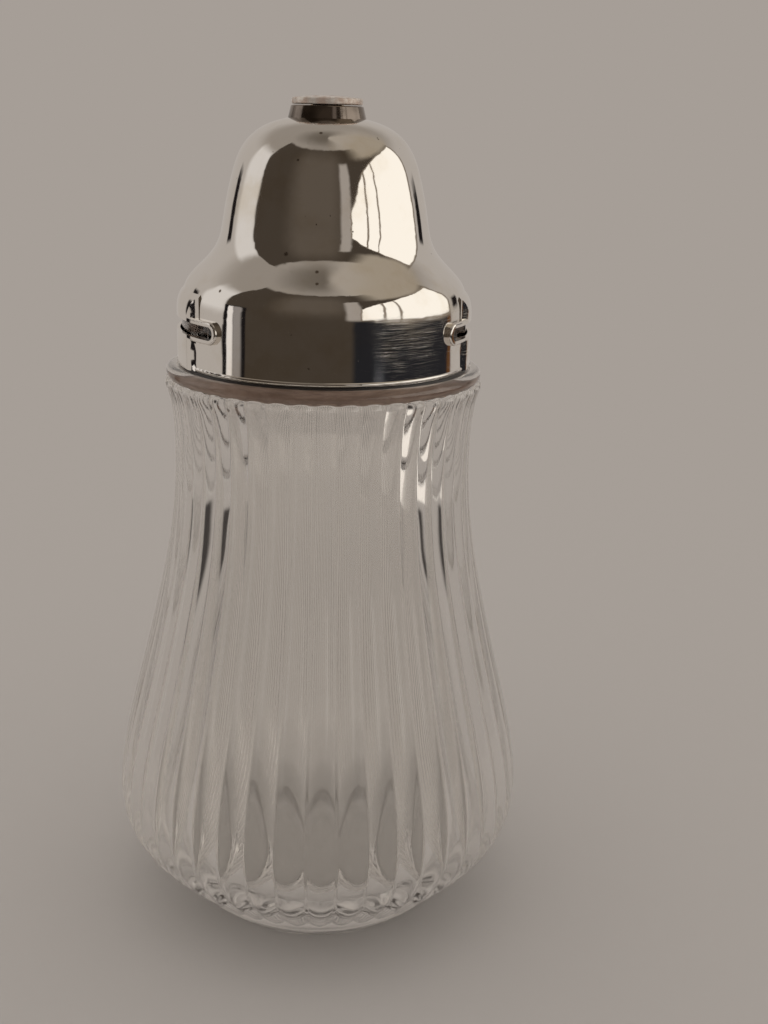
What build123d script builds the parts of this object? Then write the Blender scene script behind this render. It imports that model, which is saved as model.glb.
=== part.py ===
"""Sugar dispenser with flap: a reeded glass jar, a plated bayonet lid and a gravity flap.

Frame: +Z up, origin at the centre of the base ring on the table, front at -Y, millimetres.
Azimuths are in degrees from the front (-Y) towards +X.
"""
import os
from math import cos, degrees, radians, sin

from build123d import *

# ---------------------------------------------------------------- glass jar
base_ring_r = 23.4        # outer edge of the flat ring that the jar stands on
base_ring_w = 2.6         # width of that flat ring
base_kick_h = 1.1         # hollow underside, height over the table
base_edge_r = 0.8         # rounding of the base ring's outer edge
base_edge_turn = 48.0     # degrees it turns up through, into the bowl
bowl_low_r = 26.4         # smooth bowl, just above the base
bowl_low_z = 3.0
bowl_mid_r = 30.1         # smooth bowl, where the reeds begin
bowl_mid_z = 7.4
bowl_top_z = 12.6         # height at which the smooth bowl has gone under the reeds
bowl_top_in = 0.2         # bowl's top inside the reeds' valleys
bowl_top_slope = 0.6      # millimetres of radius per millimetre of height there

reed_count = 44
reed_azimuth = 0.8        # azimuth of the crest nearest the front
reed_depth = 1.15         # crest to valley
reed_foot_r = 27.6        # crest radius where the reeds start, inside the smooth bowl
reed_foot_z = 5.0
reed_foot_slope = 1.05    # millimetres of radius per millimetre of height
belly_r = 40.4            # widest crest radius
belly_z = 24.5
flank_r = 35.5            # crest radius half way up the jar
flank_z = 50.3
flank_slope = -0.2
waist_r = 28.3            # narrowest crest radius
waist_z = 93.6
head_r = 30.0             # crest radius at the reeds' rounded heads
head_drop = 0.7           # heads' fullest place below the seat
head_round_h = 2.1        # heads close over this height, under the bead
head_round_in = 0.8       # and draw in by this

floor_z = 12.0            # inside floor
floor_r = 28.0            # flat part of the inside floor
floor_slope = 0.6         # millimetres of height per millimetre of radius at its edge
floor_corner_z = 19.0     # height at which the inside wall has its full thickness
wall_t = 3.6              # glass between the crests and the inside
bore_blend_z = 88.0       # inside wall starts to draw in to the neck's bore here
bore_z = 104.0            # and has drawn in to the bore here

seat_z = 107.9            # floor of the groove that holds the seal
neck_r = 25.0             # plain neck inside the lid
neck_t = 2.9
neck_h = 14.6             # neck's top over the seat
neck_lip_r = 1.3          # fire-polished rounding of the neck's lip
bead_r = 2.4              # section radius of the smooth bead round the seat
bead_wall = 0.35          # bead's section centre outside the groove's outer wall
bead_drop = 0.3           # bead's top below the lid's rim

lug_out = 1.6             # bayonet lugs stand out from the neck by this
lug_h = 2.0
lug_half_angle = 18.5

# ---------------------------------------------------------------- seal ring
seal_h = 2.75
seal_w = 1.35
seal_gap = 0.3            # seal to the neck, and seal to the groove's outer wall
seal_edge_r = 0.25

# ---------------------------------------------------------------- lid
seat_gap = 0.05           # lid's rim over the seal's top
sheet_t = 0.6             # plated brass sheet
skirt_gap = 1.1           # skirt's inside to the glass neck
skirt_taper = 0.2         # skirt's top is drawn in by this
skirt_h = 9.5             # straight skirt over the rim
rim_bead_r = 0.4          # rolled bead at the lid's rim

mouth_h = 43.9            # bell's top over the rim, under the collar
mouth_slope = 0.25        # its rise per millimetre towards the axis there
shoulder = (0.970, 0.326)  # bell's outline: shares of the skirt's radius and the mouth's height
sweep = (0.854, 0.412)
throat = (0.745, 0.497)
dome_foot = (0.702, 0.606)
dome_side = (0.646, 0.768)
brow = (0.558, 0.8975)
crown = (0.4195, 0.969)

channel_azimuth = -84.5   # one bayonet channel; the other is opposite
channel_gap = 0.3         # channel's inside to the lugs
channel_half_angle = 21.0 # full front of the channel
channel_foot_angle = 28.0 # foot of its sloping sides
channel_rise = 0.3        # channel's front stays straight this far over the skirt's top
channel_close_in = 0.1    # channel's top inside the shoulder's radius
channel_close_drop = 0.4  # and below the shoulder's height
channel_close_slope = 0.6  # its rise per millimetre towards the axis there

slot_rise = 7.5           # slot's middle over the lid's rim
slot_gap = 0.2            # slot to the lug, above and below
slot_half_angle = 39.2
lip_w = 0.85              # pressed-out lip round the slot
lip_edge_r = 0.4

# ---------------------------------------------------------------- spout collar
collar_foot_r = 7.1
collar_top_r = 6.55
collar_h = 2.2
collar_edge_r = 0.25
spout_r = 5.6             # bore that the sugar runs through

# ---------------------------------------------------------------- flap and its hinge
flap_gap = 0.2            # flap over the collar's top
flap_r = 6.4
flap_edge_h = 1.1         # height of the flap's edge
flap_rise = 0.45          # domed top over that edge
flap_sheet_t = 0.6
flap_edge_r = 0.25
pivot_back = 8.7          # hinge pin's axis behind the spout's axis
pivot_drop = 0.8          # and below the flap's underside
pin_r = 0.5
pin_gap = 0.05            # running clearance in the knuckle
pin_head_r = 0.8
pin_head_t = 0.4
knuckle_r = 1.05
knuckle_w = 3.6
knuckle_lift = 0.25       # knuckle's arm over the flap's underside
knuckle_arm = 1.0         # length of the arm's thick end, from the flap's edge
knuckle_gap = 0.2         # knuckle to the bracket's ears, each side
ear_t = 0.7
ear_r = 1.25              # ear's rounding about the pin
stop_back = 1.65          # bracket's back wall behind the pin's axis
stop_rise = 1.2           # its top over the pin's axis, where the open flap rests
stop_t = 0.6

# ---------------------------------------------------------------- drawing
through = 1.0             # cutters run past the faces they open by this
merge = 0.1               # pressed-out forms start this far inside the sheet's face
round_share = 0.49        # rounding of a block's ends, as a share of its height
bell_steps = 16           # points that the bell's inner outline is drawn through

# ---------------------------------------------------------------- sizes that follow
rim_z = seat_z + seal_h + seat_gap
seal_in_r = neck_r + seal_gap
seal_out_r = seal_in_r + seal_w
groove_r = seal_out_r + seal_gap
bead_c = groove_r + bead_wall
bead_z = rim_z - bead_drop - bead_r
neck_top_z = seat_z + neck_h
bore_r = neck_r - neck_t
lug_r = neck_r + lug_out
skirt_in_r = neck_r + skirt_gap
skirt_r = skirt_in_r + sheet_t
channel_in_r = lug_r + channel_gap
channel_r = channel_in_r + sheet_t
channel_h = skirt_h + channel_rise
channel_close_r = shoulder[0] * skirt_r - channel_close_in
channel_close_h = shoulder[1] * mouth_h - channel_close_drop
slot_z = rim_z + slot_rise
slot_h = lug_h + 2 * slot_gap
slot_out_r = channel_r + through
mouth_z = rim_z + mouth_h
collar_top_z = mouth_z + collar_h
flap_z = collar_top_z + flap_gap
pivot_z = flap_z - pivot_drop
flap_edge_z = flap_z + flap_edge_h
flap_top_z = flap_edge_z + flap_rise
flap_hollow = flap_edge_h + flap_rise / 2 - flap_sheet_t
arm_middle = flap_r - flap_edge_r + knuckle_arm / 2
ear_in = knuckle_w / 2 + knuckle_gap
ear_out = ear_in + ear_t
pin_end = ear_out + pin_head_t
bracket_front = pivot_back - ear_r
bracket_rear = pivot_back + stop_back + stop_t
bracket_foot_z = rim_z + brow[1] * mouth_h
stop_top_z = pivot_z + stop_rise
head_z = seat_z - head_drop
reed_step = 360 / reed_count
channel_azimuths = (channel_azimuth, channel_azimuth + 180)


def hermite(z, low, high):
    """Radius at height z between two stations, each (height, radius, slope)."""
    (z0, r0, m0), (z1, r1, m1) = low, high
    h = z1 - z0
    t = (z - z0) / h
    start = r0 * (1 + 2 * t) * (1 - t) ** 2 + h * m0 * t * (1 - t) ** 2
    end = r1 * t * t * (3 - 2 * t) + h * m1 * t * t * (t - 1)
    return start + end


def crest_radius(z):
    """Radius of the reeds' crests at height z, from their foot to their heads."""
    foot = (reed_foot_z, reed_foot_r, reed_foot_slope)
    belly = (belly_z, belly_r, 0)
    flank = (flank_z, flank_r, flank_slope)
    waist = (waist_z, waist_r, 0)
    if z < belly_z:
        return hermite(z, foot, belly)
    if z < flank_z:
        return hermite(z, belly, flank)
    if z < waist_z:
        return hermite(z, flank, waist)
    return waist_r + (head_r - waist_r) * ((z - waist_z) / (head_z - waist_z)) ** 3


def spaced(low, high, count):
    """Evenly spaced heights from low up to, but without, high."""
    return [low + (high - low) * k / count for k in range(count)]


def polar(radius, azimuth):
    """Point at a radius and an azimuth, in a horizontal plane."""
    return (radius * sin(radians(azimuth)), -radius * cos(radians(azimuth)))


def smooth(points, start, end):
    """Spline through the points, leaving the first along start and reaching the last along end."""
    ends = [Vector(*start).normalized(), Vector(*end).normalized()]
    return Spline(*points, tangents=ends, tangent_scalars=[1, 1])


def radial_plane(azimuth):
    """Upright plane through the axis, with its X outwards at the azimuth and its Y up."""
    outward = Vector(*polar(1, azimuth), 0)
    return Plane(origin=(0, 0, 0), x_dir=outward, z_dir=outward.cross(Vector(0, 0, 1)))


def ring_block(inner_r, outer_r, middle_z, height, azimuth, half_angle):
    """Block bent round the axis, with half-round ends as seen from outside."""
    with BuildPart() as block:
        with BuildSketch(radial_plane(azimuth - half_angle)):
            with Locations(((inner_r + outer_r) / 2, middle_z)):
                Rectangle(outer_r - inner_r, height)
        revolve(axis=Axis.Z, revolution_arc=2 * half_angle)
        straight = block.edges().filter_by(GeomType.LINE)
        fillet(straight.filter_by(Axis.Z, reverse=True), height * round_share)
    return block


# ================================================================ glass jar
reed_heights = (
    spaced(reed_foot_z, belly_z, 4)
    + spaced(belly_z, flank_z, 3)
    + spaced(flank_z, waist_z, 3)
    + spaced(waist_z, head_z, 4)
    + [head_z]
)
reed_sections = [(z, crest_radius(z)) for z in reed_heights]
reed_sections.append((head_z + head_round_h, head_r - head_round_in))

with BuildPart() as reeded_body:
    for height, crest in reed_sections:
        with BuildSketch(Plane.XY.offset(height)):
            with BuildLine():
                for k in range(reed_count):
                    middle = reed_azimuth + k * reed_step
                    ThreePointArc(
                        polar(crest - reed_depth, middle - reed_step / 2),
                        polar(crest, middle),
                        polar(crest - reed_depth, middle + reed_step / 2),
                    )
            make_face()
    loft()

bowl_top = (crest_radius(bowl_top_z) - reed_depth - bowl_top_in, bowl_top_z)

with BuildPart() as bowl:
    with BuildSketch(Plane.XZ):
        with BuildLine():
            ring = Line((base_ring_r - base_ring_w, 0), (base_ring_r - base_edge_r, 0))
            edge = JernArc(ring @ 1, ring % 1, base_edge_r, base_edge_turn)
            side = smooth(
                [edge @ 1, (bowl_low_r, bowl_low_z), (bowl_mid_r, bowl_mid_z), bowl_top],
                edge % 1,
                (bowl_top_slope, 1),
            )
            Polyline(side @ 1, (0, bowl_top_z), (0, base_kick_h))
            TangentArc((0, base_kick_h), ring @ 0, tangent=(1, 0))
        make_face()
    revolve(axis=Axis.Z)

with BuildPart() as neck:
    with BuildSketch(Plane.XZ):
        with Locations((neck_r / 2, (head_z + neck_top_z) / 2)):
            Rectangle(neck_r, neck_top_z - head_z)
    revolve(axis=Axis.Z)
    fillet(neck.edges().group_by(Axis.Z)[-1], neck_lip_r)
    with BuildSketch(Plane.XZ):
        with Locations((bead_c, bead_z)):
            Circle(bead_r)
    revolve(axis=Axis.Z)

inside_heights = (
    spaced(floor_corner_z, belly_z, 2)
    + spaced(belly_z, flank_z, 3)
    + spaced(flank_z, bore_blend_z, 4)
    + [bore_blend_z]
)
inside_wall = [(crest_radius(z) - wall_t, z) for z in inside_heights]

with BuildPart() as cavity:
    with BuildSketch(Plane.XZ):
        with BuildLine():
            inside = smooth(
                [(floor_r, floor_z), *inside_wall, (bore_r, bore_z)], (1, floor_slope), (0, 1)
            )
            Polyline(
                inside @ 1,
                (bore_r, neck_top_z + through),
                (0, neck_top_z + through),
                (0, floor_z),
                inside @ 0,
            )
        make_face()
    revolve(axis=Axis.Z)

lugs = [
    ring_block((bore_r + neck_r) / 2, lug_r, slot_z, lug_h, azimuth, lug_half_angle)
    for azimuth in channel_azimuths
]

with BuildPart() as glass_jar:
    add(reeded_body)
    add(bowl)
    add(neck)
    with BuildSketch(Plane.XY.offset(seat_z)):
        Circle(groove_r)
        Circle(neck_r, mode=Mode.SUBTRACT)
    extrude(amount=rim_z - seat_z, mode=Mode.SUBTRACT)
    add(lugs)
    add(cavity, mode=Mode.SUBTRACT)

# ================================================================ seal ring
with BuildPart() as seal_ring:
    with BuildSketch(Plane.XY.offset(seat_z)):
        Circle(seal_out_r)
        Circle(seal_in_r, mode=Mode.SUBTRACT)
    extrude(amount=seal_h)
    fillet(seal_ring.edges().group_by(Axis.Z)[-1], seal_edge_r)


# ================================================================ lid shell
bell_shares = (shoulder, sweep, throat, dome_foot, dome_side, brow, crown)
bell_stations = [(across * skirt_r, rim_z + up * mouth_h) for across, up in bell_shares]
bell_outline = smooth(
    [(skirt_r - skirt_taper, rim_z + skirt_h), *bell_stations, (collar_foot_r, mouth_z)],
    (-skirt_taper, skirt_h),
    (-1, mouth_slope),
)


def bell(inset):
    """Solid of the bell, carried on below the rim, with its outline moved in by inset."""
    shares = [k / bell_steps for k in range(bell_steps + 1)]
    stations = [
        bell_outline @ share + (bell_outline % share).rotate(Axis.Z, 90) * inset
        for share in shares
    ]
    with BuildPart() as solid:
        with BuildSketch(Plane.XZ):
            with BuildLine():
                dome = smooth(stations, bell_outline % 0, bell_outline % 1)
                Polyline(
                    dome @ 1,
                    (0, (dome @ 1).Y),
                    (0, rim_z - skirt_h),
                    (skirt_r - inset, rim_z - skirt_h),
                    (skirt_r - inset, rim_z),
                    dome @ 0,
                )
            make_face()
        revolve(axis=Axis.Z)
    return solid


def channel(inset, azimuth):
    """Pressed-out bayonet channel as a solid, with its faces moved in by inset."""
    front_r = channel_r - inset
    foot_r = skirt_r - inset - merge
    with BuildPart() as solid:
        with BuildSketch(Plane.XY.offset(rim_z - skirt_h)):
            with BuildLine():
                front = ThreePointArc(
                    polar(front_r, azimuth - channel_half_angle),
                    polar(front_r, azimuth),
                    polar(front_r, azimuth + channel_half_angle),
                )
                flank = smooth(
                    [front @ 1, polar(foot_r, azimuth + channel_foot_angle)],
                    front % 1,
                    polar(1, azimuth + channel_foot_angle + 90),
                )
                other_flank = smooth(
                    [polar(foot_r, azimuth - channel_foot_angle), front @ 0],
                    polar(1, azimuth - channel_foot_angle + 90),
                    front % 0,
                )
                Polyline(flank @ 1, (0, 0), other_flank @ 0)
            make_face()
        extrude(amount=skirt_h + channel_close_h)
        with BuildSketch(Plane.XZ):
            with BuildLine():
                side = Line((front_r, rim_z - skirt_h), (front_r, rim_z + channel_h))
                close = smooth(
                    [side @ 1, (channel_close_r - inset, rim_z + channel_close_h)],
                    (0, 1),
                    (-1, channel_close_slope),
                )
                Polyline(
                    close @ 1,
                    (0, rim_z + channel_close_h),
                    (0, rim_z - skirt_h),
                    side @ 0,
                )
            make_face()
        revolve(axis=Axis.Z, mode=Mode.INTERSECT)
    return solid


bell_outside = bell(0)
bell_inside = bell(sheet_t)
channels = [channel(0, azimuth) for azimuth in channel_azimuths]
channel_insides = [channel(sheet_t, azimuth) for azimuth in channel_azimuths]
lips = [
    ring_block(
        skirt_in_r, channel_r, slot_z, slot_h + 2 * lip_w, azimuth,
        slot_half_angle + degrees(lip_w / channel_r),
    )
    for azimuth in channel_azimuths
]
for lip in lips:
    with lip:
        face = lip.faces().filter_by(GeomType.CYLINDER).sort_by(lambda f: f.radius)[-1]
        fillet(face.edges(), lip_edge_r)
slots = [
    ring_block(bore_r, slot_out_r, slot_z, slot_h, azimuth, slot_half_angle)
    for azimuth in channel_azimuths
]

with BuildPart() as lid_shell:
    add(bell_outside)
    add(channels)
    with BuildSketch(Plane.XZ):
        with Locations((skirt_r - rim_bead_r / 2, rim_z + rim_bead_r)):
            Circle(rim_bead_r)
    revolve(axis=Axis.Z)
    add(lips)
    add(bell_inside, mode=Mode.SUBTRACT)
    add(channel_insides, mode=Mode.SUBTRACT)
    with BuildSketch(Plane.XY.offset(rim_z)):
        Circle(spout_r)
    extrude(amount=mouth_h + through, mode=Mode.SUBTRACT)
    add(slots, mode=Mode.SUBTRACT)
    split(bisect_by=Plane.XY.offset(rim_z), keep=Keep.TOP)

# ================================================================ spout collar
with BuildPart() as spout_collar:
    with BuildSketch(Plane.XZ):
        with BuildLine():
            Polyline(
                (spout_r, mouth_z),
                (collar_foot_r, mouth_z),
                (collar_top_r, collar_top_z),
                (spout_r, collar_top_z),
                close=True,
            )
        make_face()
    revolve(axis=Axis.Z)
    fillet(spout_collar.edges().group_by(Axis.Z)[-1].sort_by(SortBy.RADIUS)[-1], collar_edge_r)

# ================================================================ flap
with BuildPart() as flap_disc:
    with BuildSketch(Plane.XZ):
        with BuildLine():
            dome = TangentArc((0, flap_top_z), (flap_r, flap_edge_z), tangent=(1, 0))
            Polyline(dome @ 1, (flap_r, flap_z), (0, flap_z), dome @ 0)
        make_face()
    revolve(axis=Axis.Z)
    fillet(flap_disc.edges().filter_by(GeomType.CIRCLE), flap_edge_r)
    with BuildSketch(Plane.XY.offset(flap_z)):
        Circle(flap_r - flap_sheet_t)
    extrude(amount=flap_hollow, mode=Mode.SUBTRACT)

with BuildPart() as flap_knuckle:
    with BuildSketch(Plane.YZ.offset(-knuckle_w / 2)):
        with Locations((pivot_back, pivot_z)):
            Circle(knuckle_r)
        with Locations((arm_middle, flap_z + (knuckle_lift + flap_edge_h) / 2)):
            Rectangle(knuckle_arm, flap_edge_h - knuckle_lift)
        make_hull()
        with Locations((pivot_back, pivot_z)):
            Circle(pin_r + pin_gap, mode=Mode.SUBTRACT)
    extrude(amount=knuckle_w)
    with BuildSketch(Plane.XY.offset(flap_z - through)):
        Circle(flap_r)
    extrude(amount=flap_edge_h + 2 * through, mode=Mode.SUBTRACT)

# ================================================================ hinge bracket and pin
with BuildPart() as hinge_bracket:
    with BuildSketch(Plane.YZ.offset(-ear_out)):
        with Locations(((bracket_front + bracket_rear) / 2, (bracket_foot_z + pivot_z) / 2)):
            Rectangle(bracket_rear - bracket_front, pivot_z - bracket_foot_z)
        with Locations((pivot_back, pivot_z)):
            Circle(ear_r)
            Circle(pin_r, mode=Mode.SUBTRACT)
    extrude(amount=ear_t)
    mirror(about=Plane.YZ)
    with BuildSketch(Plane.YZ.offset(-ear_out)):
        with Locations((bracket_rear - stop_t / 2, (bracket_foot_z + stop_top_z) / 2)):
            Rectangle(stop_t, stop_top_z - bracket_foot_z)
    extrude(amount=2 * ear_out)
    add(bell_outside, mode=Mode.SUBTRACT)

with BuildPart() as hinge_pin:
    with BuildSketch(Plane.YZ.offset(-pin_end)):
        with Locations((pivot_back, pivot_z)):
            Circle(pin_r)
    extrude(amount=2 * pin_end)
    for start in (-pin_end, ear_out):
        with BuildSketch(Plane.YZ.offset(start)):
            with Locations((pivot_back, pivot_z)):
                Circle(pin_head_r)
        extrude(amount=pin_head_t)

# ================================================================ files
os.makedirs("parts", exist_ok=True)
glass_jar.part.label = "glass_jar"
seal_ring.part.label = "seal_ring"
lid_shell.part.label = "lid_shell"
spout_collar.part.label = "spout_collar"
flap_disc.part.label = "flap_disc"
flap_knuckle.part.label = "flap_knuckle"
hinge_bracket.part.label = "hinge_bracket"
hinge_pin.part.label = "hinge_pin"
export_step(glass_jar.part, "parts/glass_jar.step")
export_step(seal_ring.part, "parts/seal_ring.step")
export_step(lid_shell.part, "parts/lid_shell.step")
export_step(spout_collar.part, "parts/spout_collar.step")
export_step(flap_disc.part, "parts/flap_disc.step")
export_step(flap_knuckle.part, "parts/flap_knuckle.step")
export_step(hinge_bracket.part, "parts/hinge_bracket.step")
export_step(hinge_pin.part, "parts/hinge_pin.step")
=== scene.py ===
"""Looks of the sugar dispenser with flap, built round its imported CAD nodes.

Row frame: +Z up, front at -Y. Pieces are sized in millimetres and become metres when finished;
materials, light and camera are in metres. Azimuths run from the front (-Y) towards +X, in
degrees, and in radians inside materials.
"""

from math import cos, radians, sin

import bmesh
import bpy
import numpy as np
from mathutils import Matrix, Vector


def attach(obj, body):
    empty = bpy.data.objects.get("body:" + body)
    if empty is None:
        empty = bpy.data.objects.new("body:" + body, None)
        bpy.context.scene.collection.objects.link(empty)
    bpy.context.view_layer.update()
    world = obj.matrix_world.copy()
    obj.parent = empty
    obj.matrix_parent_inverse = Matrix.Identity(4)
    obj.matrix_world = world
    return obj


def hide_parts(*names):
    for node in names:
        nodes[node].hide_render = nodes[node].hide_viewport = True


MM = 0.001

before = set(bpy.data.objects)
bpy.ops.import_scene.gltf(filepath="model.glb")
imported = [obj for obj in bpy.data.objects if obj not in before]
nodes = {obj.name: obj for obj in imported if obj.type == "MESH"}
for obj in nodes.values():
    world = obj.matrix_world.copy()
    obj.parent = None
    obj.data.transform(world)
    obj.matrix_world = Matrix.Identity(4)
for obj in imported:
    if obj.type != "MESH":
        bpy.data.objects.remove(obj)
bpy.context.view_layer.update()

# ---------------------------------------------------------------- sizes of the glass jar
KICK_H = 1.1                # hollow under the base
KICK_STEPS = 4
RING_IN_R = 20.8            # ring that the jar stands on
RING_OUT_R = 22.6
EDGE_R = 0.8
EDGE_TURN = 48.0
EDGE_STEPS = 3
BOWL = ((26.4, 3.0), (30.1, 7.4), (34.04, 12.6))
BOWL_END = (0.6, 1.0)       # direction in which the bowl runs out
BOWL_STEPS = 20
CREST_STATIONS = (
    (27.6, 5.0), (31.14, 8.0), (35.35, 12.0), (38.33, 16.0), (39.94, 20.0), (40.4, 24.5),
    (40.05, 30.0), (38.83, 37.0), (37.1, 44.0), (35.5, 50.3), (33.57, 58.0), (31.75, 66.0),
    (30.12, 74.0), (28.96, 82.0), (28.4, 89.0), (28.3, 93.6), (28.36, 98.0), (28.69, 101.5),
    (29.27, 104.8), (29.75, 106.2), (29.95, 107.0), (29.75, 107.7), (28.9, 108.2),
)
CREST_START = (1.05, 1)     # directions at the crest's two ends
CREST_END = (-1, 0.3)
CREST_STEPS = 400
REEDS = 44
REED_AZIMUTH = 0.8
REED_DEPTH = 1.15
REED_REACH = 2              # points this near the crests are on the outside
COLUMNS_PER_REED = 14
REED_LEVELS = (             # height and how many levels follow up to the next
    (5.2, 14), (13.0, 9), (24.5, 11), (50.0, 12), (90.0, 4), (103.0, 3), (105.6, 13), (108.3, 0),
)
REED_SPACE = 0.1            # between the bowl's last level and the reeds' first
BOWL_BLEND = 0.3            # softens the corner between reeds and bowl
BEAD_BLEND = 0.05           # and between reeds and bead
BEAD_C = 28.0
BEAD_Z = 109.1
BEAD_OUT = 1.7
BEAD_UP = 1.35
BEAD_ANGLES = (-28, -10, 8, 26, 46, 66, 84, 100)
GROOVE_R = 26.95
GROOVE_TOP_Z = 110.0
SEAT_Z = 107.9
SEAT_EDGE = 0.1             # cut off the corners of the seat
NECK_R = 25.0
NECK_TOP_Z = 122.5
NECK_LEVELS = ((110.0, 2), (117.0, 7), (119.4, 1), (121.2, 0))
LIP_R = 1.3
LIP_STEPS = 4
BORE_R = 22.1
BORE_LOW_Z = 113.0
FLOOR_Z = 12.0
FLOOR_RINGS = (20.0, 10.0, 0.0)
INSIDE = (
    (28.0, 12.0), (35.49, 19.0), (36.46, 21.75), (36.8, 24.5), (35.91, 33.1), (33.94, 41.7),
    (31.9, 50.3), (29.87, 59.73), (27.79, 69.15), (26.02, 78.58), (24.9, 88.0), (22.1, 104.0),
)
INSIDE_START = (1, 0.6)
INSIDE_END = (0, 1)
INSIDE_STEPS = 43
SKIRT_R = 26.5              # of the lid, which its scratches run round
PITS = (                    # place on the lid and radius
    (-1.03, -12.82, 152.2, 0.42), (-1.41, -21.9, 129.66, 0.45), (-1.38, -23.7, 127.86, 0.42),
    (-6.76, -18.87, 132.25, 0.5), (-18.13, -18.05, 125.63, 0.4), (-4.88, -15.43, 147.72, 0.3),
)
SEAL_IN_R = 25.3
SEAL_OUT_R = 26.97          # wets the groove's outer wall, so the glass shows it all round
SEAL_LOW_Z = 107.88
SEAL_TOP_Z = 110.62
SEAL_EDGE = 0.2             # cut off the inner edges
SEAL_LOW_EDGE = 0.1         # and off the lower outer one
SEAL_ROUND = ((0, 0.3), (0.1, 0.08), (0.35, 0))     # inwards and down from the upper outer edge
SEAL_STEPS = 220
LUG_Z = 118.2
LUG_H = 2.0
LUG_OUT = 1.6
LUG_SLACK = 0.05
LUG_HALF_ANGLE = 16.2       # to the middle of a lug's round end
CHANNELS = (-84.5, 95.5)    # azimuths of the lugs, and of the channels over them
HAIR = 0.01                 # slack when heights and radii are compared


# ---------------------------------------------------------------- colour and node helpers
def linear(code):
    """sRGB hex such as C9C2BB as a linear colour."""
    channels = [int(code[k:k + 2], 16) / 255 for k in (0, 2, 4)]
    return [c / 12.92 if c <= 0.04045 else ((c + 0.055) / 1.055) ** 2.4 for c in channels] + [1]


def add(tree, kind, settings=(), **inputs):
    """
    Adds a node with its settings, and returns its first output in use.

    Inputs go by name or as _0, _1 and on: each is a value, a hex colour or another output.
    """
    made = tree.nodes.new("ShaderNode" + kind)
    for name, value in dict(settings).items():
        setattr(made, name, value)
    for name, value in inputs.items():
        socket = made.inputs[int(name[1:]) if name[1:].isdigit() else name.replace("_", " ")]
        if isinstance(value, bpy.types.NodeSocket):
            tree.links.new(value, socket)
        else:
            socket.default_value = linear(value) if isinstance(value, str) else value
    return next((output for output in made.outputs if output.enabled), None)


def calc(tree, operation, *values, kind="Math"):
    """Result of a Math or VectorMath node."""
    inputs = {f"_{k}": value for k, value in enumerate(values)}
    return add(tree, kind, {"operation": operation}, **inputs)


def mix(tree, share, code, over):
    """One colour laid over another by its share."""
    return add(tree, "Mix", {"data_type": "RGBA"}, _0=share, _6=code, _7=over)


def soft_step(tree, value, start, stop, low=0.0, high=1.0):
    """Goes softly from low to high while the value goes from start to stop."""
    settings = {"interpolation_type": "SMOOTHSTEP"}
    return add(tree, "MapRange", settings, Value=value, _1=start, _2=stop, _3=low, _4=high)


def noise(tree, place, scale, detail, roughness=0.5):
    """Cloudy noise from 0 to 1."""
    return add(tree, "TexNoise", Vector=place, Scale=scale, Detail=detail, Roughness=roughness)


def coordinates(tree, kind):
    """Coordinates of a kind, such as Object."""
    return tree.nodes.new("ShaderNodeTexCoord").outputs[kind]


def parts_of(tree, vector):
    """The three parts of a vector."""
    made = tree.nodes.new("ShaderNodeSeparateXYZ")
    tree.links.new(vector, made.inputs[0])
    return tuple(made.outputs)


def turn_of(tree, east, north):
    """Azimuth in radians."""
    return calc(tree, "ARCTAN2", east, calc(tree, "MULTIPLY", north, -1.0))


def lengthwise(tree, turn, height, per_metre_round, per_metre_up):
    """Coordinates that stretch a noise into lines round the lid or the seal."""
    across = calc(tree, "MULTIPLY", turn, SKIRT_R * MM * per_metre_round)
    upward = calc(tree, "MULTIPLY", height, per_metre_up)
    return add(tree, "CombineXYZ", _0=across, _1=upward)


def new_material(name):
    """A material with an empty node tree."""
    made = bpy.data.materials.new(name)
    made.use_nodes = True
    made.node_tree.nodes.clear()
    return made, made.node_tree


# ---------------------------------------------------------------- curves and meshes
def smooth(points, start, end, count):
    """Count + 1 points of the curve with even curvature through the given ones."""
    p = np.array(points, float)
    h = np.linalg.norm(np.diff(p, axis=0), axis=1)
    n = len(p)
    a = np.zeros((n, n))
    b = np.zeros((n, 2))
    a[0, 0] = a[-1, -1] = 1
    b[0] = np.array(start, float) / np.linalg.norm(start)
    b[-1] = np.array(end, float) / np.linalg.norm(end)
    for k in range(1, n - 1):
        a[k, k - 1], a[k, k + 1] = 1 / h[k - 1], 1 / h[k]
        a[k, k] = 2 * (a[k, k - 1] + a[k, k + 1])
        b[k] = 3 * ((p[k] - p[k - 1]) / h[k - 1] ** 2 + (p[k + 1] - p[k]) / h[k] ** 2)
    m = np.linalg.solve(a, b)
    at = np.concatenate(([0], np.cumsum(h)))
    made = []
    for s in np.linspace(0, at[-1], count + 1):
        k = min(int(np.searchsorted(at, s, side="right")) - 1, n - 2)
        t = (s - at[k]) / h[k]
        made.append(
            p[k] * (1 + 2 * t) * (1 - t) ** 2 + m[k] * h[k] * t * (1 - t) ** 2
            + p[k + 1] * t * t * (3 - 2 * t) + m[k + 1] * h[k] * t * t * (t - 1)
        )
    return [tuple(point) for point in made]


def arc(centre, radius, start, end, count):
    """Points of an arc between two angles in degrees, from the outward direction."""
    angles = [radians(start + (end - start) * k / count) for k in range(count + 1)]
    return [(centre[0] + radius * cos(a), centre[1] + radius * sin(a)) for a in angles]


def levels(*spans):
    """Heights from span to span: (start, count) pairs, the last a plain end."""
    made = []
    for (low, count), (high, _) in zip(spans, spans[1:]):
        made += [low + (high - low) * k / count for k in range(count)]
    return made


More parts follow.
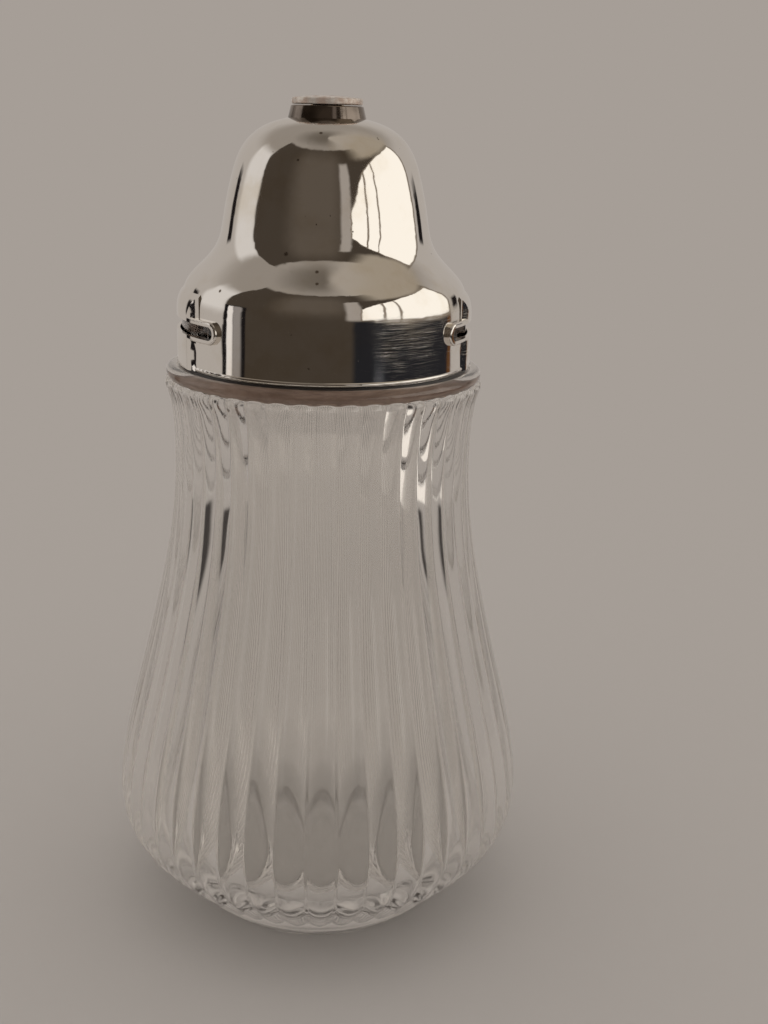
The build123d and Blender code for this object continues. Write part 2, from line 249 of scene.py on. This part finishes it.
def spun(outline, steps, first=0.0):
    """Outline of (radius, height) points spun right round the axis."""
    bm = bmesh.new()
    at = radians(first)
    verts = [bm.verts.new((r * sin(at), -r * cos(at), z)) for r, z in outline]
    edges = [bm.edges.new(pair) for pair in zip(verts, verts[1:])]
    bmesh.ops.spin(
        bm, geom=verts + edges, cent=(0, 0, 0), axis=(0, 0, 1), dvec=(0, 0, 0),
        angle=radians(360), steps=steps,
        use_merge=True, use_normal_flip=False, use_duplicate=False,
    )
    bmesh.ops.remove_doubles(bm, verts=bm.verts, dist=0.0005)
    return bm


def piece(name, bm, mat, body, stands_for):
    """Finished piece from a bmesh in millimetres, on its body."""
    bmesh.ops.scale(bm, vec=(MM, MM, MM), verts=bm.verts)
    bmesh.ops.recalc_face_normals(bm, faces=bm.faces)
    for face in bm.faces:
        face.smooth = True
    mesh = bpy.data.meshes.new(name)
    bm.to_mesh(mesh)
    bm.free()
    made = bpy.data.objects.new(name, mesh)
    mesh.materials.append(mat)
    bpy.context.scene.collection.objects.link(made)
    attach(made, body)
    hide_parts(*stands_for)
    return made


def soft_max(a, b, blend):
    """The larger of two, with a rounded corner where they meet."""
    near = np.maximum(blend - np.abs(a - b), 0) / blend
    return np.maximum(a, b) + near * near * blend / 4


# ---------------------------------------------------------------- materials
# Pressed soda-lime glass: clear, faintly grey, with the slow waves that the mould leaves, and
# darkened with painted shade on the neck behind the two slots of the lid.
SLOT_SHADE_H = (2.6, 0.9)        # off the lugs' height where the painted shade begins, and where it is full
SLOT_SHADE_TURN = (-0.1, 0.3)    # the same for the cosine of twice the azimuth off a channel

glass, tree = new_material("pressed soda-lime glass")
place = coordinates(tree, "Object")
east, north, height = parts_of(tree, place)
waves = noise(tree, place, 110.0, 1.0)
waves = add(tree, "Bump", Strength=0.05, Distance=0.0004, Height=waves)
# Painted shade: near the lugs' height and behind the channels, the glass is darkened in patches
# towards 3A302A.
level = calc(tree, "ABSOLUTE", calc(tree, "ADD", height, -LUG_Z * MM))
level = soft_step(tree, level, SLOT_SHADE_H[0] * MM, SLOT_SHADE_H[1] * MM)
beside = calc(tree, "ADD", turn_of(tree, east, north), radians(-CHANNELS[0]))
beside = calc(tree, "COSINE", calc(tree, "MULTIPLY", beside, 2.0))
beside = soft_step(tree, beside, *SLOT_SHADE_TURN)
shade_patches = soft_step(tree, noise(tree, place, 240.0, 3.0), 0.3, 0.6, low=0.55)
painted_shade = calc(tree, "MULTIPLY", calc(tree, "MULTIPLY", level, beside), shade_patches)
tone = mix(tree, painted_shade, "FBFAF8", "3A302A")
shader = add(
    tree, "BsdfPrincipled", Base_Color=tone, Roughness=0.065, IOR=1.5,
    Transmission_Weight=1.0, Normal=waves,
)
add(tree, "OutputMaterial", Surface=shader)

# Silver plate, spun and buffed to a mirror, then rubbed clean for decades: sharp reflections
# that waver a little, hair scratches round the skirt, a warm breath of tarnish, a few pits and
# an inside that was never buffed, so rougher, and darkened with painted shade.
SCRATCHED_Z = (123.7, 121.5)        # the scratches begin below the first height
SCRATCHED_TURN = (0.24, 0.4)        # and to the right of this azimuth, in radians
INWARDS = (-0.001, -0.003)          # normal times place, on the faces that look to the axis

silver, tree = new_material("polished silver plate")
place = coordinates(tree, "Object")
east, north, height = parts_of(tree, place)
turn = turn_of(tree, east, north)
lines = lengthwise(tree, turn, height, 130.0, 6000.0)
film = noise(tree, place, 95.0, 4.0, 0.6)
grain = noise(tree, place, 900.0, 3.0)
hairs = soft_step(tree, noise(tree, lines, 1.0, 3.0, 0.75), 0.38, 0.85)
low_down = soft_step(tree, height, SCRATCHED_Z[0] * MM, SCRATCHED_Z[1] * MM)
to_right = soft_step(tree, turn, *SCRATCHED_TURN)
scuffs = soft_step(tree, film, 0.42, 0.58, 0.2, 0.32)
for part in (low_down, to_right, scuffs):
    hairs = calc(tree, "MULTIPLY", hairs, part)
pitted = soft_step(tree, grain, 0.74, 0.78)
for *middle, radius in PITS:
    away = calc(tree, "DISTANCE", place, [c * MM for c in middle], kind="VectorMath")
    pit = soft_step(tree, away, radius * MM, 0.4 * radius * MM)
    pitted = calc(tree, "MAXIMUM", pitted, pit)
tarnish = soft_step(tree, film, 0.45, 0.75, 0.0, 0.35)
tone = mix(tree, tarnish, "EFEBE5", "CDBB98")
tone = mix(tree, pitted, tone, "7A6E62")
rough = soft_step(tree, film, 0.3, 0.7, 0.03, 0.07)
rough = calc(tree, "ADD", rough, hairs)
rough = calc(tree, "MAXIMUM", rough, calc(tree, "MULTIPLY", pitted, 0.4))
flat = calc(tree, "MULTIPLY", place, (1.0, 1.0, 0.0), kind="VectorMath")
facing = coordinates(tree, "Normal")
inside = calc(tree, "DOT_PRODUCT", facing, flat, kind="VectorMath")
inside = soft_step(tree, inside, *INWARDS)
# Painted shade: faces that look to the axis, inside the lid, are darkened to 3A332C; their greater
# roughness is the unbuffed inside.
tone = mix(tree, inside, tone, "3A332C")
rough = calc(tree, "MAXIMUM", rough, calc(tree, "MULTIPLY", inside, 0.35))
sway = noise(tree, place, 70.0, 1.0)
sway = add(tree, "Bump", Strength=1.0, Distance=0.00004, Height=sway)
shader = add(
    tree, "BsdfPrincipled", Base_Color=tone, Metallic=1.0, Roughness=rough, Normal=sway,
)
add(tree, "OutputMaterial", Surface=shader)

# Silver plate that no cloth reaches: the same mirror under a grey-brown film.
dull_silver, tree = new_material("tarnished silver plate")
film = noise(tree, coordinates(tree, "Object"), 260.0, 3.0)
tone = mix(tree, soft_step(tree, film, 0.35, 0.65), "8A7F76", "6B625A")
shader = add(tree, "BsdfPrincipled", Base_Color=tone, Metallic=1.0, Roughness=0.12)
add(tree, "OutputMaterial", Surface=shader)

# Silver plate worn through by thumbs: dull, pinkish where the copper shows, ivory where the
# plate is left, with a soft sheen instead of a mirror.
worn_silver, tree = new_material("worn silver plate")
wear = noise(tree, coordinates(tree, "Object"), 620.0, 5.0, 0.6)
tone = mix(tree, soft_step(tree, wear, 0.4, 0.62), "D6CCC1", "BFAA9B")
rough = soft_step(tree, wear, 0.35, 0.65, 0.28, 0.5)
dents = add(tree, "Bump", Strength=0.3, Distance=0.00005, Height=wear)
shader = add(
    tree, "BsdfPrincipled", Base_Color=tone, Metallic=0.55, Roughness=rough, Normal=dents,
)
add(tree, "OutputMaterial", Surface=shader)

# Natural rubber gone brown and dry with age: moulded, so smooth, streaked round its length,
# and darkened almost to black with painted shadow where the lid's edge sits over it.
SEAL_SHADE_TOP = (0.75, 0.45)   # below the seal's top where the painted shadow begins, and where it is full

rubber, tree = new_material("aged brown rubber")
place = coordinates(tree, "Object")
east, north, height = parts_of(tree, place)
lines = lengthwise(tree, turn_of(tree, east, north), height, 90.0, 2200.0)
streaks = soft_step(tree, noise(tree, lines, 1.0, 4.0, 0.65), 0.38, 0.64)
blotches = soft_step(tree, noise(tree, place, 170.0, 2.0), 0.5, 0.7, 0.0, 0.5)
tone = mix(tree, streaks, "7E6555", "A58B7A")
tone = mix(tree, blotches, tone, "6E5242")
# Painted shadow: the seal darkens to 1E1814 towards its top, under the lid's edge.
painted_shade = soft_step(tree, height, *((SEAL_TOP_Z - down) * MM for down in SEAL_SHADE_TOP))
tone = mix(tree, painted_shade, tone, "1E1814")
shader = add(tree, "BsdfPrincipled", Base_Color=tone, Roughness=0.35)
add(tree, "OutputMaterial", Surface=shader)

# Drawn brass wire, cut and left: a dull yellow sheen.
brass, tree = new_material("drawn brass")
shader = add(tree, "BsdfPrincipled", Base_Color="B89A62", Metallic=1.0, Roughness=0.28)
add(tree, "OutputMaterial", Surface=shader)

finishes = {
    "glass_jar": glass, "seal_ring": rubber, "lid_shell": silver, "spout_collar": dull_silver,
    "flap_disc": worn_silver, "flap_knuckle": silver, "hinge_bracket": silver,
    "hinge_pin": brass,
}
for name, finish in finishes.items():
    nodes[name].data.materials.clear()
    nodes[name].data.materials.append(finish)

# ---------------------------------------------------------------- glass jar
ring_edge = arc((RING_OUT_R, EDGE_R), EDGE_R, -90, -90 + EDGE_TURN, EDGE_STEPS)
edge_way = (cos(radians(EDGE_TURN)), sin(radians(EDGE_TURN)))
bowl = smooth([ring_edge[-1], *BOWL], edge_way, BOWL_END, BOWL_STEPS)
bowl_r, bowl_z = zip(*bowl)
crest_r, crest_z = zip(*smooth(CREST_STATIONS, CREST_START, CREST_END, CREST_STEPS))
reed_levels = levels(*REED_LEVELS)
kick = [
    (RING_IN_R * k / KICK_STEPS, KICK_H * (1 - (k / KICK_STEPS) ** 2))
    for k in range(KICK_STEPS + 1)
]
outline = (
    kick
    + ring_edge
    + [point for point in bowl[1:] if point[1] < reed_levels[0] - REED_SPACE]
    + [(float(np.interp(z, crest_z, crest_r)), z) for z in reed_levels]
    + [
        (BEAD_C + BEAD_OUT * cos(radians(a)), BEAD_Z + BEAD_UP * sin(radians(a)))
        for a in BEAD_ANGLES
    ]
    + [(GROOVE_R, GROOVE_TOP_Z), (GROOVE_R, SEAT_Z + SEAT_EDGE), (GROOVE_R - SEAT_EDGE, SEAT_Z)]
    + [(NECK_R + SEAT_EDGE, SEAT_Z), (NECK_R, SEAT_Z + SEAT_EDGE)]
    + [(NECK_R, z) for z in levels(*NECK_LEVELS)]
    + arc((NECK_R - LIP_R, NECK_TOP_Z - LIP_R), LIP_R, 0, 90, LIP_STEPS)
    + arc((BORE_R + LIP_R, NECK_TOP_Z - LIP_R), LIP_R, 90, 180, LIP_STEPS)
    + [(BORE_R, BORE_LOW_Z)]
    + smooth(INSIDE, INSIDE_START, INSIDE_END, INSIDE_STEPS)[::-1]
    + [(r, FLOOR_Z) for r in FLOOR_RINGS]
)
jar = spun(outline, REEDS * COLUMNS_PER_REED, REED_AZIMUTH)
x, y, z = np.array([vert.co for vert in jar.verts]).T
radius = np.hypot(x, y)
azimuth = np.degrees(np.arctan2(x, -y))

# Reeds: crests with sharp valleys, run out of the smooth bowl and into the bead.
crests = np.interp(z, crest_z, crest_r)
across = ((azimuth - REED_AZIMUTH) * REEDS / 360 + 0.5) % 1 - 0.5
reeded = crests - REED_DEPTH * (2 * across) ** 2
in_bowl = np.where(z < BOWL[-1][1], np.interp(z, bowl_z, bowl_r), 0)
in_bead = BEAD_OUT * np.sqrt(np.maximum(1 - ((z - BEAD_Z) / BEAD_UP) ** 2, 0))
in_bead = np.where(in_bead > 0, BEAD_C + in_bead, 0)
reeded = soft_max(soft_max(reeded, in_bowl, BOWL_BLEND), in_bead, BEAD_BLEND)
outside = (z > reed_levels[0] - HAIR) & (z < reed_levels[-1] + HAIR)
outside &= radius > crests - REED_REACH

# Bayonet lugs on the neck, under the channels of the lid.
beyond = np.full(len(z), np.inf)
for middle in CHANNELS:
    turn = np.abs((azimuth - middle + 180) % 360 - 180)
    past = np.radians(np.maximum(turn - LUG_HALF_ANGLE, 0)) * NECK_R
    beyond = np.minimum(beyond, np.hypot(past, z - LUG_Z))
lug = (radius > NECK_R - HAIR) & (beyond < LUG_H / 2 + LUG_SLACK)

wanted = np.where(outside, reeded, np.where(lug, NECK_R + LUG_OUT, radius))
share = wanted / np.maximum(radius, 0.001)
for vert, east, south in zip(jar.verts, x * share, y * share):
    vert.co.x, vert.co.y = east, south
glass_jar = piece("glass_jar_pressed", jar, glass, "jar", ["glass_jar"])

# ---------------------------------------------------------------- seal ring
section = [
    (SEAL_IN_R + SEAL_EDGE, SEAL_LOW_Z),
    (SEAL_OUT_R - SEAL_LOW_EDGE, SEAL_LOW_Z),
    (SEAL_OUT_R, SEAL_LOW_Z + SEAL_LOW_EDGE),
    *((SEAL_OUT_R - inwards, SEAL_TOP_Z - down) for inwards, down in SEAL_ROUND),
    (SEAL_IN_R + SEAL_EDGE, SEAL_TOP_Z),
    (SEAL_IN_R, SEAL_TOP_Z - SEAL_EDGE),
    (SEAL_IN_R, SEAL_LOW_Z + SEAL_EDGE),
]
ring = spun(section + section[:1], SEAL_STEPS)
piece("seal_ring_moulded", ring, rubber, "seal", ["seal_ring"])

# ---------------------------------------------------------------- stage
PAPER = "A69E97"            # floor and background
LIGHT = 1.0                 # strength of the even studio light
CLEAR = 0.35                # share of the plain background seen through glass instead of shade
GAPS = ((-106, -93), (97, 104))     # azimuths of the dark gaps that the glass bends into view
GAP_HEIGHTS = (-0.7, -0.06)
FLOOR_R = 30
FLOOR_FAR = (0.25, 0.4)     # metal sees the floor up to here, and past it the studio
FLOOR_SEEN_FROM = (0, 0, 0.12)      # where directions to the floor start
WALL = radians(100)         # azimuth that the window wall faces the object from
WALL_FACING = (sin(WALL), -cos(WALL), 0)
WALL_ALONG = (cos(WALL), sin(WALL), 0)
CLOTH = "B4ADA7"            # what metal sees where no patch is painted
ALL_ROUND = (-400, 400)
PATCHES = (                 # colour, azimuths, sines of elevation, softness of each
    ("958D85", ALL_ROUND, (0.6, 2), (1, 0.15)),             # back, high up
    ("5F574E", ALL_ROUND, (0.96, 2), (1, 0.07)),            # ceiling
    ("A89F95", (20, 150), (0.8, 2), (30, 0.12)),            # paler, high up to the right
    ("D8D3CF", (-116, -86), (-0.03, 0.62), (4, 0.08)),      # lit cloth, left
    ("1C1818", (-133, -124), (-2, 0.2), (1.5, 0.05)),       # gap beside the left cloth
    ("1C1818", (124, 133), (-0.04, 0.16), (1.5, 0.05)),     # and beside the right one
    ("453D35", (-86, 119), (-2, 0.87), (1.2, 0.015)),       # dim room
    ("5C534A", (-40, 17), (0.1, 0.8), (14, 0.2)),           # its paler middle
    ("1A1718", (-86, -64), (-2, 0.14), (0.6, 0.02)),        # doorway, far left
    ("E8E2DE", (-82, -76), (-2, 0.12), (0.5, 0.02)),        # bright strip in it
    ("8F8986", (-76, -68), (-2, 0.12), (1.5, 0.02)),        # and a dimmer one
    ("A39B94", (17, 29), (-0.04, 0.62), (2, 0.03)),         # wall by the window
    ("A39889", (46, 130), (0.67, 0.95), (16, 0.05)),        # and above it
    ("242427", (22, 117), (-2, -0.05), (3, 0.01)),          # dark under the window
    ("7C7E84", (39, 47), (-2, -0.18), (3, 0.06)),           # a pale thing in it
    ("5E3F26", (114, 120), (-0.24, -0.09), (1.5, 0.03)),    # warm gleam, right
)
WINDOW_ALONG = (-3.05, 0.34)        # on the wall, as shares of its distance
WINDOW_RISE = (-0.11, 0.91)
PANES_ALONG = ((-2.8, -1.33), (-1.22, -0.8), (-0.74, 0.3))
PANES_RISE = (-0.07, 0.87)
PANE_GAIN = 1.12            # panes are brighter than white
LAMP_WATTS = 1.5            # stands for the window, seen by the glass alone
LAMP_SIZE = (1.1, 0.8)
LAMP_AZIMUTH = radians(75)
LAMP_UP = 0.42
LAMP_AIMED_AT = (0, 0, 0.08)


def compass(tree, way):
    """Azimuth in degrees and sine of elevation of a direction."""
    east, north, high = parts_of(tree, way)
    return calc(tree, "DEGREES", turn_of(tree, east, north)), high


def patch(tree, seen, code, across, upward, soft, gain=1.0):
    """Paints a soft-edged patch: across and upward each give a value and its two ends."""
    mask = None
    for (value, low, high), blur in zip((across, upward), soft):
        for end, start, stop in ((low, 0.0, 1.0), (high, 1.0, 0.0)):
            side = soft_step(tree, value, end - blur, end + blur, start, stop)
            mask = calc(tree, "MULTIPLY", mask, side) if mask else side
    return mix(tree, mask, seen, [c * gain for c in linear(code)])


def through_glass(tree, way):
    """Colour that clear glass bends into view: pale paper, with dark gaps low at both sides."""
    azimuth, high = compass(tree, way)
    seen = PAPER
    for gap in GAPS:
        seen = patch(tree, seen, "35312F", (azimuth, *gap), (high, *GAP_HEIGHTS), (3, 0.04))
    return seen


def studio(tree, way):
    """Colour that polished metal sees towards a direction: pale cloth, a dim room and a window."""
    azimuth, high = compass(tree, way)
    depth = calc(tree, "DOT_PRODUCT", way, WALL_FACING, kind="VectorMath")
    depth = calc(tree, "MAXIMUM", depth, 0.01)
    along = calc(tree, "DOT_PRODUCT", way, WALL_ALONG, kind="VectorMath")
    along = calc(tree, "DIVIDE", along, depth)
    rise = calc(tree, "DIVIDE", high, depth)
    seen = CLOTH
    for code, azimuths, heights, soft in PATCHES:
        seen = patch(tree, seen, code, (azimuth, *azimuths), (high, *heights), soft)
    seen = patch(
        tree, seen, "85796C", (along, *WINDOW_ALONG), (rise, *WINDOW_RISE), (0.03, 0.01)
    )
    for pane in PANES_ALONG:
        seen = patch(
            tree, seen, "FFF9F0", (along, *pane), (rise, *PANES_RISE), (0.02, 0.01), PANE_GAIN
        )
    return seen


def surroundings(tree, rays, way):
    """What glass sees towards a direction, and what metal sees."""
    return mix(tree, rays["Is Transmission Ray"], studio(tree, way), through_glass(tree, way))


floor_material, tree = new_material("floor paper")
rays = tree.nodes.new("ShaderNodeLightPath").outputs
here = coordinates(tree, "Object")
far = soft_step(tree, calc(tree, "LENGTH", here, kind="VectorMath"), *FLOOR_FAR)
paper = add(tree, "BsdfDiffuse", Color=PAPER)
plain = add(tree, "Emission", Color=PAPER)
through = calc(tree, "MULTIPLY", rays["Is Transmission Ray"], CLEAR)
paper = add(tree, "MixShader", _0=through, _1=paper, _2=plain)
down = calc(tree, "SUBTRACT", here, FLOOR_SEEN_FROM, kind="VectorMath")
down = calc(tree, "NORMALIZE", down, kind="VectorMath")
seen = add(tree, "Emission", Color=surroundings(tree, rays, down))
bent = calc(tree, "MULTIPLY", rays["Is Glossy Ray"], far)
both = add(tree, "MixShader", _0=bent, _1=paper, _2=seen)
add(tree, "OutputMaterial", Surface=both)

floor = bmesh.new()
bmesh.ops.create_circle(floor, cap_ends=True, segments=64, radius=FLOOR_R)
floor_mesh = bpy.data.meshes.new("floor")
floor.to_mesh(floor_mesh)
floor.free()
floor_mesh.materials.append(floor_material)
floor_piece = bpy.data.objects.new("floor", floor_mesh)
bpy.context.scene.collection.objects.link(floor_piece)

# The air of the studio: an even light, a background as pale as the floor, and the
# cloth, room and window for what is polished.
world = bpy.data.worlds.new("studio air")
bpy.context.scene.world = world
world.use_nodes = True
world.cycles.sampling_method = "NONE"
tree = world.node_tree
tree.nodes.clear()
rays = tree.nodes.new("ShaderNodeLightPath").outputs
way = coordinates(tree, "Generated")
plain = add(tree, "Background", Color=PAPER, Strength=1.0)
seen = add(tree, "Background", Color=surroundings(tree, rays, way), Strength=1.0)
even = add(tree, "Background", Color="FFFFFF", Strength=LIGHT)
shown = add(tree, "MixShader", _0=rays["Is Glossy Ray"], _1=plain, _2=seen)
lit = calc(tree, "GREATER_THAN", rays["Diffuse Depth"], 0.5)
both = add(tree, "MixShader", _0=lit, _1=shown, _2=even)
add(tree, "OutputWorld", Surface=both)

# The window is far brighter than white, which a mirror hides and clear glass shows as glints.
window_light = bpy.data.lights.new("window", "AREA")
window_light.shape = "RECTANGLE"
window_light.size, window_light.size_y = LAMP_SIZE
window_light.energy = LAMP_WATTS
window_light.color = linear("FFF6EA")[:3]
window_lamp = bpy.data.objects.new("window", window_light)
bpy.context.scene.collection.objects.link(window_lamp)
towards = Vector((sin(LAMP_AZIMUTH), -cos(LAMP_AZIMUTH), LAMP_UP))
window_lamp.location = Vector(LAMP_AIMED_AT) + towards
window_lamp.rotation_euler = towards.to_track_quat("Z", "Y").to_euler()
window_lamp.visible_camera = False
glints_on = bpy.data.collections.new("glass only")
glints_on.objects.link(glass_jar)
window_lamp.light_linking.receiver_collection = glints_on

# ---------------------------------------------------------------- camera
# Fitted to the circles of the lid, the flap and the base in the photograph.
SENSOR = 24
FOCAL_PIXELS = 1300         # focal length in pixels of the photograph
PICTURE_H = 1024
PITCH, ROLL, YAW = 0.294036, 0.0264372, 0.0494456
CAMERA_AT = (0, -0.2448985, 0.154893)

camera_data = bpy.data.cameras.new("camera")
camera_data.sensor_width = SENSOR
camera_data.lens = SENSOR * FOCAL_PIXELS / PICTURE_H
camera_data.clip_start = 0.01
camera_data.clip_end = 20
camera = bpy.data.objects.new("camera", camera_data)
bpy.context.scene.collection.objects.link(camera)
forward = Vector((sin(YAW) * cos(PITCH), cos(YAW) * cos(PITCH), -sin(PITCH)))
level = Vector((cos(YAW), -sin(YAW), 0))
upright = level.cross(forward)
right = level * cos(ROLL) + upright * sin(ROLL)
up = upright * cos(ROLL) - level * sin(ROLL)
turned = Matrix((right, up, -forward)).transposed().to_4x4()
camera.matrix_world = Matrix.Translation(CAMERA_AT) @ turned
scene = bpy.context.scene
scene.camera = camera
scene.view_settings.view_transform = "Standard"

# Light turns many times between the walls and reeds of clear glass before it leaves.
scene.cycles.max_bounces = 32
scene.cycles.transmission_bounces = 24
scene.cycles.glossy_bounces = 16
